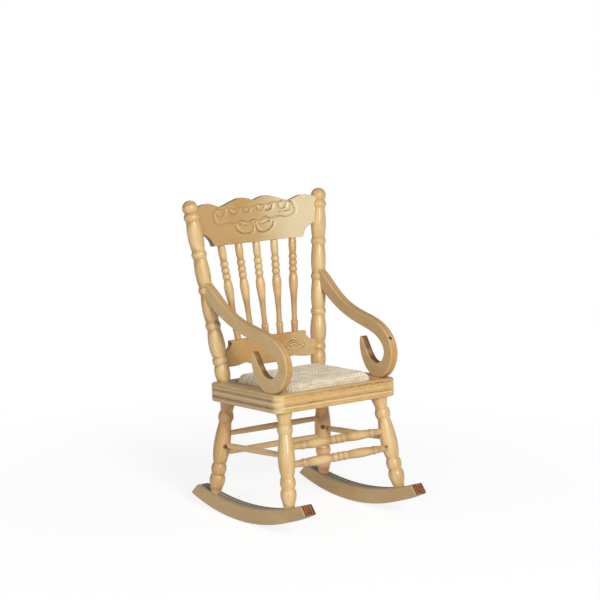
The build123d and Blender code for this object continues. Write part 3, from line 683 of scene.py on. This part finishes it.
def crest_relief(x, u):
    """Grooves pressed along the lines of the ornament, deeper to the right: a long cartouche
    with a wavy edge, lobes along its upper part, and two swags with a pit at each end."""
    right = [
        (-0.4, 47.6), (0.8, 47.3), (2.2, 47.3), (3.2, 47.8), (4.2, 48.0), (5.4, 47.5),
        (6.8, 47.5), (8.2, 47.85), (9.6, 47.8), (11, 47.5), (12.6, 47.55), (13.9, 48.1),
        (14.7, 49.1), (14.75, 50.1), (14.3, 51.1), (13.5, 51.95), (12.4, 52.3),
    ]
    left = [
        (-0.4, 47.6), (-1.6, 47.3), (-3, 47.1), (-4.4, 47.5), (-5.8, 47.6), (-7, 47.2),
        (-8.4, 47.05), (-10, 47.4), (-11.5, 47.2), (-13.2, 46.95), (-14.6, 47.3), (-15.4, 48.2),
        (-15.7, 49.5), (-15.5, 50.7), (-14.8, 51.5), (-13.8, 51.8),
    ]
    head = [
        (-13.8, 51.8), (-12, 51.5), (-10, 51.9), (-7.6, 51.5), (-5.2, 51.7), (-3, 51.5),
        (-0.4, 51.6), (1.6, 52.05), (3.4, 51.8), (5.2, 51.9), (7, 52.3), (9, 52.15),
        (10.8, 52.4), (12.4, 52.3),
    ]
    lobes = [
        [
            (12.0, 52.1), (11.7, 51.2), (11.2, 50.4), (10.2, 50.0), (9.3, 50.3), (8.9, 51.1),
            (9.0, 52.0),
        ],
        [(6.9, 52.2), (6.6, 51.3), (6.2, 50.5), (5.2, 50.0), (4.2, 50.1)],
        [(13.4, 51.0), (13.6, 50.2), (13.0, 49.5), (11.4, 49.2), (9.0, 49.2)],
        [(-5.6, 51.4), (-6.1, 50.6), (-6.9, 49.9), (-8.2, 49.8), (-9.2, 50.4), (-9.5, 51.5)],
        [
            (-11.1, 51.6), (-11.4, 50.6), (-12.1, 49.7), (-13.4, 49.5), (-14.6, 50.2),
            (-14.9, 51.0),
        ],
        [(-4.4, 51.2), (-3.8, 50.3), (-2.4, 50.1), (-1.6, 51.2)],
        [(0.6, 51.6), (1.2, 50.5), (2.6, 50.2), (3.6, 51.0), (3.8, 51.6)],
    ]
    swags = [
        [
            (6.5, 46.1), (6.3, 45.4), (5.5, 44.6), (4.4, 43.95), (3.0, 43.6), (1.6, 43.6),
            (0.6, 44.2), (0.1, 45.2), (0.0, 46.5),
        ],
        [
            (-7.5, 46.0), (-7.3, 45.2), (-6.6, 44.4), (-5.4, 43.8), (-3.8, 43.6), (-2.2, 43.7),
            (-1.2, 44.4), (-0.8, 45.4), (-1.2, 46.5),
        ],
        [(5.3, 46.7), (4.2, 46.4), (2.8, 46.05), (1.4, 46.15), (0.0, 46.7)],
        [(-5.7, 46.5), (-4.6, 46.2), (-3.4, 46.0), (-2.4, 46.15), (-1.5, 46.6)],
    ]
    deep = 0.3 + 0.16 * soft(x + 6, 18)
    pressed = np.maximum(ridge(x, u, right, 0.56), ridge(x, u, left, 0.52))
    pressed = np.maximum(pressed, 0.7 * ridge(x, u, head, 0.5))
    for path in lobes:
        pressed = np.maximum(pressed, 0.85 * ridge(x, u, path, 0.5))
    for path in swags[:2]:
        pressed = np.maximum(pressed, 1.1 * ridge(x, u, path, 0.5))
    for path in swags[2:]:
        pressed = np.maximum(pressed, 0.55 * ridge(x, u, path, 0.42))
    hollow = sum(soft(1 - np.hypot((x - p) / 2.3, (u - 45.2) / 1.2), 0.8) for p in (3.0, -4.2))
    ends = (0.0, 46.7), (5.0, 46.6), (-5.7, 46.5), (-1.6, 46.6)
    pits = sum(np.exp(-(((x - p) / 0.5) ** 2 + ((u - q) / 0.3) ** 2)) for p, q in ends)
    arc = ridge(x, u, [(12.3, 52.3), (13.2, 52.1), (14.0, 51.4), (14.4, 50.4), (14.6, 49.8)], 0.5)
    pressed = np.maximum(np.maximum(pressed, 1.7 * arc), 1.7 * pits)
    return -deep * pressed - 0.1 * hollow


def lower_relief(x, u):
    """An almond-shaped eye on each side, of three rolls one within another, and a small leaf
    spray in the middle, all pressed more lightly to the left."""
    a = np.abs(x)
    lid = [(6.0, 8.3), (7.2, 9.5), (8.7, 9.9), (10.3, 9.4), (11.6, 8.4), (12.6, 7.6)]
    fold = [(12.6, 7.6), (11.0, 6.95), (9.2, 6.75), (7.6, 7.1), (6.0, 8.3)]
    inner = [(7.0, 8.3), (8.0, 9.0), (9.2, 9.1), (10.5, 8.5), (11.6, 7.8)]
    heart = [(7.9, 8.0), (9.0, 8.4), (10.2, 7.9)]
    rolls = 0.22 * ridge(a, u, lid, 0.36) + 0.18 * ridge(a, u, fold, 0.34)
    rolls = np.maximum(rolls, 0.2 * ridge(a, u, inner, 0.26))
    rolls = np.maximum(rolls, 0.2 * ridge(a, u, heart, 0.3))
    spray = [(0.6, 6.4), (2.0, 7.6), (3.6, 8.0), (5.0, 7.7)]
    upper = [(0.5, 8.2), (1.6, 9.4), (3.2, 9.7), (4.8, 9.3)]
    rolls = np.maximum(rolls, 0.2 * ridge(a, u, spray, 0.4))
    rolls = np.maximum(rolls, 0.2 * ridge(a, u, upper, 0.4))
    return 1.3 * rolls * (0.25 + 0.75 * soft(x + 1, 5))


def rail_mesh(name, foot, head, relief, set_back, columns, rows):
    """A bent board as one loop of points round each column: up the front with the relief added,
    over the top, down the back and under, with its long edges slightly rounded."""
    s = np.linspace(-1, 1, columns)[:, None]
    middle = rail_end((foot(np.zeros(1)) + head(np.zeros(1))) / 2)
    low, high = foot(s * rail_end(0)), head(s * middle)
    for _ in range(6):
        low, high = foot(s * rail_end(low)), head(s * rail_end(high))
    up = np.linspace(0, 1, rows)
    ease = 0.3
    turn = np.linspace(0, pi / 2, 5)[1:-1]
    face = ease + (high - low - 2 * ease) * up
    over = high - low - ease + ease * np.sin(turn)
    back = np.linspace(1, 0, 14)
    behind = ease + (high - low - 2 * ease) * back
    under = np.broadcast_to(ease - ease * np.sin(turn), (columns, len(turn)))
    tall = np.concatenate([face, over, over[:, ::-1], behind, under, under[:, ::-1]], 1) + low
    thick = np.concatenate([
        np.full(rows, rail_half),
        rail_half - ease + ease * np.cos(turn),
        -(rail_half - ease + ease * np.cos(turn))[::-1],
        np.full(14, -rail_half),
        -(rail_half - ease + ease * np.cos(turn)),
        (rail_half - ease + ease * np.cos(turn))[::-1],
    ])
    x = s * rail_end(tall)
    pressed = np.zeros_like(x)
    pressed[:, :rows] = relief(x[:, :rows], tall[:, :rows])
    bend = sum(np.gradient(np.gradient(pressed[:, :rows], axis=n), axis=n) for n in (0, 1))
    crease = np.zeros_like(x)
    crease[:, :rows] = np.clip(bend / ((x.max() - x.min()) / columns) ** 2 / 3.5, -1, 1)
    w = -set_back + rail_bend - np.sqrt(rail_bend**2 - x**2) + thick + pressed
    y = post_foot_y + tall * sin(lean) - w * cos(lean)
    z = seat_top + tall * cos(lean) + w * sin(lean)
    points = stood(np.stack([x, y, z], -1)).reshape(*x.shape, 3)
    mesh = grid_mesh(name, points, close_across=True)
    crease = crease.ravel().astype(np.float32)
    mesh.attributes.new("crease", "FLOAT", "POINT").data.foreach_set("value", crease)
    return whole(mesh)


def pressed_wood(name, lie, seed, left, right, blotches=()):
    """Wood with its grain along the rail, browner in the grooves of the pressing as painted shade,
    and paler along their lips as a painted highlight. left and right are pairs of colours, pale and
    dark, for the rail's two ends. Its edges are raw: dark with painted shade on the lower edges and
    bites, and paler with painted light on the top edges. A blotch is a level-chair point, its size
    in millimetres, its colour and its strength."""
    finish = Finish(name, lie)
    shifted = finish.grain.moved(seed, seed, seed * 3)
    fibre = shifted.stretched(5, 5, 0.18).noise(1.0, 5.0, 0.6)
    cloud = shifted.stretched(0.2, 0.16, 0.07).noise(1.0, 2.0)
    pore = shifted.stretched(9, 9, 0.6).noise(1.0, 1.0).step(0.62, 0.7)
    share = 0.45 * fibre + 0.6 * cloud - 0.15
    along = finish.grain.parts()[2] + 6 * cloud - 3
    colour = along.step(-4, 15).mixed(share.mixed(*left), share.mixed(*right))
    colour = (pore * 0.25).mixed(colour, pool)
    crease = finish.start.node("Attribute", {"attribute_name": "crease"}, output=2)
    patchy = shifted.stretched(0.55, 0.5, 0.4).noise(1.0, 3.0, 0.6).step(0.36, 0.62)
    # Browner in the creases is painted shade, and paler along their lips is a painted highlight.
    colour = (crease.step(0.05, 0.9) * (0.35 + 0.55 * patchy)).mixed(colour, paint(112, 74, 34))
    colour = (crease.step(-0.05, -0.6) * (0.12 + 0.2 * patchy)).mixed(colour, paint(244, 224, 180))
    for point, size, tint, strength in blotches:
        ragged = size * (0.5 + shifted.stretched(0.8, 0.8, 0.5).noise(1.0, 3.0))
        gap = finish.away(level(*point)) * 1000 - ragged
        colour = (gap.step(0.6 * size, -0.3 * size) * strength).mixed(colour, tint)
    out = (stand @ Vector((0, -cos(lean), sin(lean))) - stand.translation).normalized()
    edge = finish.facing_along(out).maths("ABSOLUTE").step(0.6, 0.3)
    rough = shifted.stretched(2, 2, 1).noise(1.0, 3.0)
    # The raw edges are paler where they face up and darker elsewhere: painted light and shade.
    upward = finish.facing_along((0, 0, 1)).step(0.2, 0.6)
    raw_edge_lit_and_shaded = upward.mixed(paint(88, 52, 28), paint(186, 160, 126))
    colour = (edge * (0.55 + 0.4 * rough)).mixed(colour, raw_edge_lit_and_shaded)
    height = 0.5 * fibre - 0.6 * pore
    roughness = 0.34 + 0.16 * fibre
    return finish.done(
        colour, roughness, height, 0.02 * mm, Coat_Weight=0.3, Coat_Roughness=0.2
    )


crest_hump, crest_foot = 54.565, 40.715
crest_bite, crest_bite_height = 4.8, 4.0
crest_end_high, crest_end_low = crest_hump - 1.75, crest_foot + crest_bite_height


def crest_head(x):
    """Two humps each side of a cusp."""
    end = rail_end(crest_end_high)
    dip = end * 0.56
    points = [
        (-0.18 * dip, crest_hump - 0.4),
        (0, crest_hump - 1.05),
        (0.18 * dip, crest_hump - 0.4),
        (0.38 * dip, crest_hump),
        (0.62 * dip, crest_hump - 0.72),
        (dip, crest_hump - 2.05),
        (0.8 * end, crest_hump - 0.85),
        (end, crest_end_high),
    ]
    return curve(points, np.abs(x))


def crest_bottom(x):
    """Straight, with a quarter-round bite out of each corner."""
    end = rail_end(crest_end_low)
    corner = end - crest_bite
    through = end - crest_bite * 0.68, crest_foot + crest_bite_height * 0.66
    bite = bow((corner, crest_foot), through, (end, crest_end_low), np.abs(x))
    return np.where(np.abs(x) < corner, crest_foot, np.clip(bite, crest_foot, crest_end_low))


crest = rail_mesh("pressed_crest_rail", crest_bottom, crest_head, crest_relief, 1.7, 360, 104)
finish = pressed_wood(
    "crest_rail_wood",
    lie("crest_rail"),
    4.0,
    (paint(200, 166, 112), paint(172, 134, 80)),
    # The right end's paler, creamier pair is a painted sheen.
    (paint(226, 212, 176), paint(204, 176, 126)),
    [
        ((-9.3, 20.7, 81.6), 0.7, paint(190, 132, 60), 0.6),
        ((-5.5, 21.0, 92.3), 2.2, paint(176, 132, 58), 0.35),
    ],
)
shown("pressed_crest_rail", crest, finish, "pressed_wood", "crest_rail")


lower_top, lower_end_top, lower_end_foot = 12.0, 9.2, 4.15
lower_bite, lower_bite_height = 3.4, 2.8


def lower_head(x):
    """Straight, with a hollow bite out of each corner."""
    end = rail_end(lower_end_top)
    corner = end - lower_bite
    through = end - lower_bite * 0.82, lower_top - lower_bite_height * 0.72
    bite = bow((corner, lower_top), through, (end, lower_end_top), np.abs(x))
    return np.where(np.abs(x) < corner, lower_top, np.clip(bite, lower_end_top, lower_top))


def lower_foot(x):
    """A shallow scallop in the middle and one at each end."""
    end = rail_end(lower_end_foot)
    notch = end * 0.53
    points = [
        (-notch / 2, 3.65),
        (0, 3.5),
        (notch / 2, 3.65),
        (notch, 4.7),
        ((end + notch) / 2, lower_end_foot),
        (end, lower_end_foot),
    ]
    return curve(points, np.abs(x))


lower = rail_mesh("pressed_lower_rail", lower_foot, lower_head, lower_relief, 1.1, 300, 74)
finish = pressed_wood(
    "lower_rail_wood",
    lie("lower_back_rail"),
    9.0,
    (paint(208, 168, 108), paint(160, 120, 66)),
    (paint(216, 186, 134), paint(180, 144, 92)),
    [((5.5, 16.2, 51.4), 2.6, paint(176, 122, 72), 0.5)],
)
shown("pressed_lower_rail", lower, finish, "pressed_wood", "lower_back_rail")

# ----- Spindles ---------------------------------------------------------------------------------
# Five small turnings with three beads each; the right-hand one is from a redder stick.
for number in range(1, 6):
    node = f"spindle_{number}"
    tones = (paint(226, 190, 136), paint(186, 134, 78)) if number == 5 else (honey, amber)
    dress(node, timber(f"{node}_wood", lie(node), 83.0 + 3.7 * number, *tones, groove=0.97))

# ----- Arms -------------------------------------------------------------------------------------
# Sawn from ply like the rockers, sanded smoother, with warm end grain round the sawn edge. The
# hooks' sawn edges are stained dark in places, and the right one's nose has a small crack.
arm_thickness = 2.5
arms = (
    (
        "left",
        21.0,
        [
            ((-19.0, -9.4, 44.6), 1.9, 0.7),
            ((-20.2, -5.2, 50.3), 2.1, 0.55),
            ((-19.6, -7.2, 47.2), 1.9, 0.4),
        ],
    ),
    (
        "right",
        33.0,
        [
            ((20.0, -10.1, 44.4), 2.1, 0.75),
            ((20.0, -4.9, 50.5), 1.9, 0.55),
            ((20.0, -7.2, 47.0), 1.9, 0.4),
            ((19.2, -18.2, 52.6), 0.36, 1.0),
        ],
    ),
)
for side, seed, dark_marks in arms:
    node = f"{side}_arm"
    material = ply(
        f"{node}_ply",
        lie(node),
        arm_thickness,
        face=(paint(226, 196, 144), paint(196, 160, 106)),
        edge=(paint(228, 192, 134), paint(176, 128, 72)),
        end=(paint(212, 168, 100), paint(160, 112, 58)),
        glue=0.18,
        seed=seed,
        dark_marks=[(level(*point), radius * mm, strength) for point, radius, strength in dark_marks],
    )
    dress(node, material)

# ----- Floor, light and camera ------------------------------------------------------------------
# A white table top and surround, with one large soft lamp high in front and two weaker ones, on
# the left and low in front, as for a small object in a light tent.
scene = bpy.context.scene
scene.view_settings.view_transform = "Standard"


def plain_white(name, veil):
    """Plain pale in other light. Seen and in reflections, it is paler still, and veiled with
    white to this share near the chair, where it keeps the shadow, and wholly further off."""
    finish = Finish(name)
    start = finish.start
    path = [start.node("LightPath", output=n) for n in (0, 3, 6)]
    seen = path[0].maths("MAXIMUM", path[1]).maths("MAXIMUM", path[2])
    far = 1 - finish.near((0, 0, 0), 0.05, 0.12)
    lit = start.node("BsdfDiffuse", {}, {"Color": (0.8, 0.8, 0.8, 1)})
    haze = start.node("Emission", {}, {"Color": (1, 1, 1, 1), "Strength": 0.45})
    glow = start.node("Emission", {}, {"Color": (1, 1, 1, 1), "Strength": 1.0})
    paler = start.node("AddShader", {}, {0: lit, 1: haze})
    mix = start.node("MixShader", {}, {0: veil + (1 - veil) * far, 1: paler, 2: glow})
    mix = start.node("MixShader", {}, {0: seen, 1: lit, 2: mix})
    out = finish.tree.nodes.new("ShaderNodeOutputMaterial")
    finish.tree.links.new(mix.socket, out.inputs["Surface"])
    return finish.material


reach = 3.0
corners = np.array([[-reach, -reach, 0], [reach, -reach, 0], [reach, reach, 0], [-reach, reach, 0]])
floor = bpy.data.objects.new("floor", mesh_of("floor", corners, np.array([[0, 1, 2, 3]])))
floor.data.materials.append(plain_white("table_white", 0.72))
scene.collection.objects.link(floor)

world = bpy.data.worlds.new("surround")
scene.world = world
world.use_nodes = True
world.node_tree.nodes.clear()
sky = Tone(world.node_tree)
seen = sky.node("LightPath", output=0)
soft = sky.node("Background", {}, {"Color": (1, 1, 1, 1), "Strength": 0.2})
white = sky.node("Background", {}, {"Color": (1, 1, 1, 1), "Strength": 1.0})
mix = sky.node("MixShader", {}, {0: seen, 1: soft, 2: white})
out = world.node_tree.nodes.new("ShaderNodeOutputWorld")
world.node_tree.links.new(mix.socket, out.inputs["Surface"])


def lamp(name, place, power, size, aim=(0, 0, 0.05)):
    """A square soft lamp at place, turned to aim."""
    light = bpy.data.lights.new(name, "AREA")
    light.energy, light.size = power, size
    holder = bpy.data.objects.new(name, light)
    holder.location = place
    holder.rotation_euler = (Vector(aim) - Vector(place)).to_track_quat("-Z", "Y").to_euler()
    scene.collection.objects.link(holder)


lamp("key", (-0.2, -0.86, 0.5), 6.2, 0.24)
lamp("left_fill", (-0.8, -0.52, 0.4), 2.4, 0.4)
lamp("low_fill", (-0.2, -0.9, 0.1), 0.9, 0.4)

camera = bpy.data.objects.new("camera", bpy.data.cameras.new("camera"))
camera.data.lens = 150.0
camera.data.sensor_width = 36.0
camera.data.clip_start, camera.data.clip_end = 0.01, 20.0
heading, down, roll = radians(36.885), radians(10.583), radians(0.334)
camera.matrix_world = (
    Matrix.Translation((-0.44117, -0.58431, 0.20186))
    @ Matrix.Rotation(-heading, 4, "Z")
    @ Matrix.Rotation(pi / 2 - down, 4, "X")
    @ Matrix.Rotation(roll, 4, "Z")
)
scene.collection.objects.link(camera)
scene.camera = camera

bpy.context.view_layer.update()
